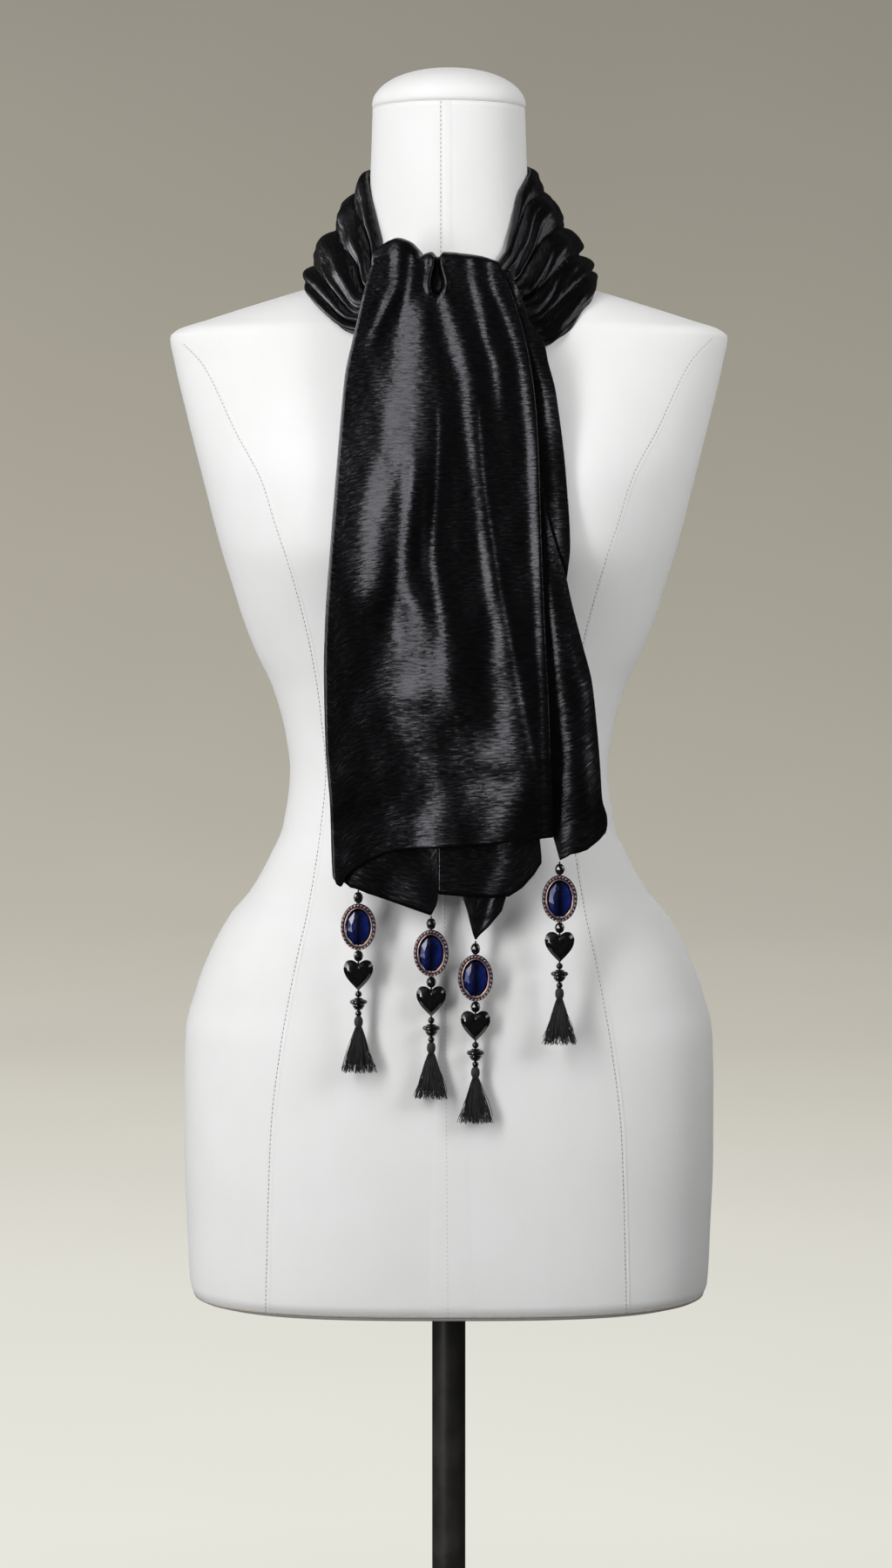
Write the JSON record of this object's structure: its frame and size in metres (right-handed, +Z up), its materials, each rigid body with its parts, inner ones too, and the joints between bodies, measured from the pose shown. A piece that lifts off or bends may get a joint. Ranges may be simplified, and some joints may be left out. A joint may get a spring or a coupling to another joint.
{
  "type": "velvet scarf on a limbless dress form",
  "caption": "Long pile velvet scarf knotted ascot style round the neck of a padded limbless dress form on a round-based stand, with hanging bead tassels at its corners.",
  "frame": {"origin": "on the floor at the centre of the round base, under the pole", "axes": "+Z up along the pole, -Y towards the front of the form, +X to the viewer's right from the front"},
  "size_m": [0.41, 0.41, 1.5798],
  "materials": {
    "white_jersey": "off-white knitted jersey stretched over padding",
    "black_velvet": "black silk velvet, short pile with a cool grey sheen on its folds",
    "black_steel": "satin black",
    "jet_bead": "opaque glossy black, faceted",
    "gilt_setting": "rose-gold rim with dark blue enamel and small raised dots",
    "sapphire_stone": "clear deep blue, faceted",
    "black_thread": "matt black thread"
  },
  "bodies": {
    "form": {"torso": "white_jersey", "neck_cap": "white_jersey", "pole": "black_steel", "pole_collar": "black_steel", "base_plate": "black_steel", "wrap_left": "black_velvet", "wrap_back": "black_velvet", "wrap_right": "black_velvet", "crossing": "black_velvet", "front_fall": "black_velvet", "side_flap": "black_velvet", "corner_turn": "black_velvet", "under_fall": "black_velvet", "under_fold": "black_velvet"},
    "pendant_1": {"pendant_1_thread_knot": "black_thread", "pendant_1_top_bead": "jet_bead", "pendant_1_cabochon_frame": "gilt_setting", "pendant_1_stone": "sapphire_stone", "pendant_1_mid_bead": "jet_bead", "pendant_1_heart": "jet_bead", "pendant_1_bead_upper": "jet_bead", "pendant_1_saucer": "jet_bead", "pendant_1_bead_lower": "jet_bead", "pendant_1_tassel_head": "black_thread", "pendant_1_tassel_skirt": "black_thread"},
    "pendant_2": {"pendant_2_thread_knot": "black_thread", "pendant_2_top_bead": "jet_bead", "pendant_2_cabochon_frame": "gilt_setting", "pendant_2_stone": "sapphire_stone", "pendant_2_mid_bead": "jet_bead", "pendant_2_heart": "jet_bead", "pendant_2_bead_upper": "jet_bead", "pendant_2_saucer": "jet_bead", "pendant_2_bead_lower": "jet_bead", "pendant_2_tassel_head": "black_thread", "pendant_2_tassel_skirt": "black_thread"},
    "pendant_3": {"pendant_3_thread_knot": "black_thread", "pendant_3_top_bead": "jet_bead", "pendant_3_cabochon_frame": "gilt_setting", "pendant_3_stone": "sapphire_stone", "pendant_3_mid_bead": "jet_bead", "pendant_3_heart": "jet_bead", "pendant_3_bead_upper": "jet_bead", "pendant_3_saucer": "jet_bead", "pendant_3_bead_lower": "jet_bead", "pendant_3_tassel_head": "black_thread", "pendant_3_tassel_skirt": "black_thread"},
    "pendant_4": {"pendant_4_thread_knot": "black_thread", "pendant_4_top_bead": "jet_bead", "pendant_4_cabochon_frame": "gilt_setting", "pendant_4_stone": "sapphire_stone", "pendant_4_mid_bead": "jet_bead", "pendant_4_heart": "jet_bead", "pendant_4_bead_upper": "jet_bead", "pendant_4_saucer": "jet_bead", "pendant_4_bead_lower": "jet_bead", "pendant_4_tassel_head": "black_thread", "pendant_4_tassel_skirt": "black_thread"}
  },
  "joints": [
    {"name": "pendant_1_swing", "type": "hinge", "parent": "form", "child": "pendant_1", "pos_m": [-0.0617, -0.1239, 1.011], "axis": [-1, 0, 0], "range_deg": [0, 80]},
    {"name": "pendant_2_swing", "type": "hinge", "parent": "form", "child": "pendant_2", "pos_m": [-0.0121, -0.1235, 0.993], "axis": [-1, 0, 0], "range_deg": [0, 80]},
    {"name": "pendant_3_swing", "type": "hinge", "parent": "form", "child": "pendant_3", "pos_m": [0.0181, -0.1235, 0.976], "axis": [-1, 0, 0], "range_deg": [0, 80]},
    {"name": "pendant_4_swing", "type": "hinge", "parent": "form", "child": "pendant_4", "pos_m": [0.0753, -0.1266, 1.0306], "axis": [-1, 0, 0], "range_deg": [0, 80]}
  ]
}
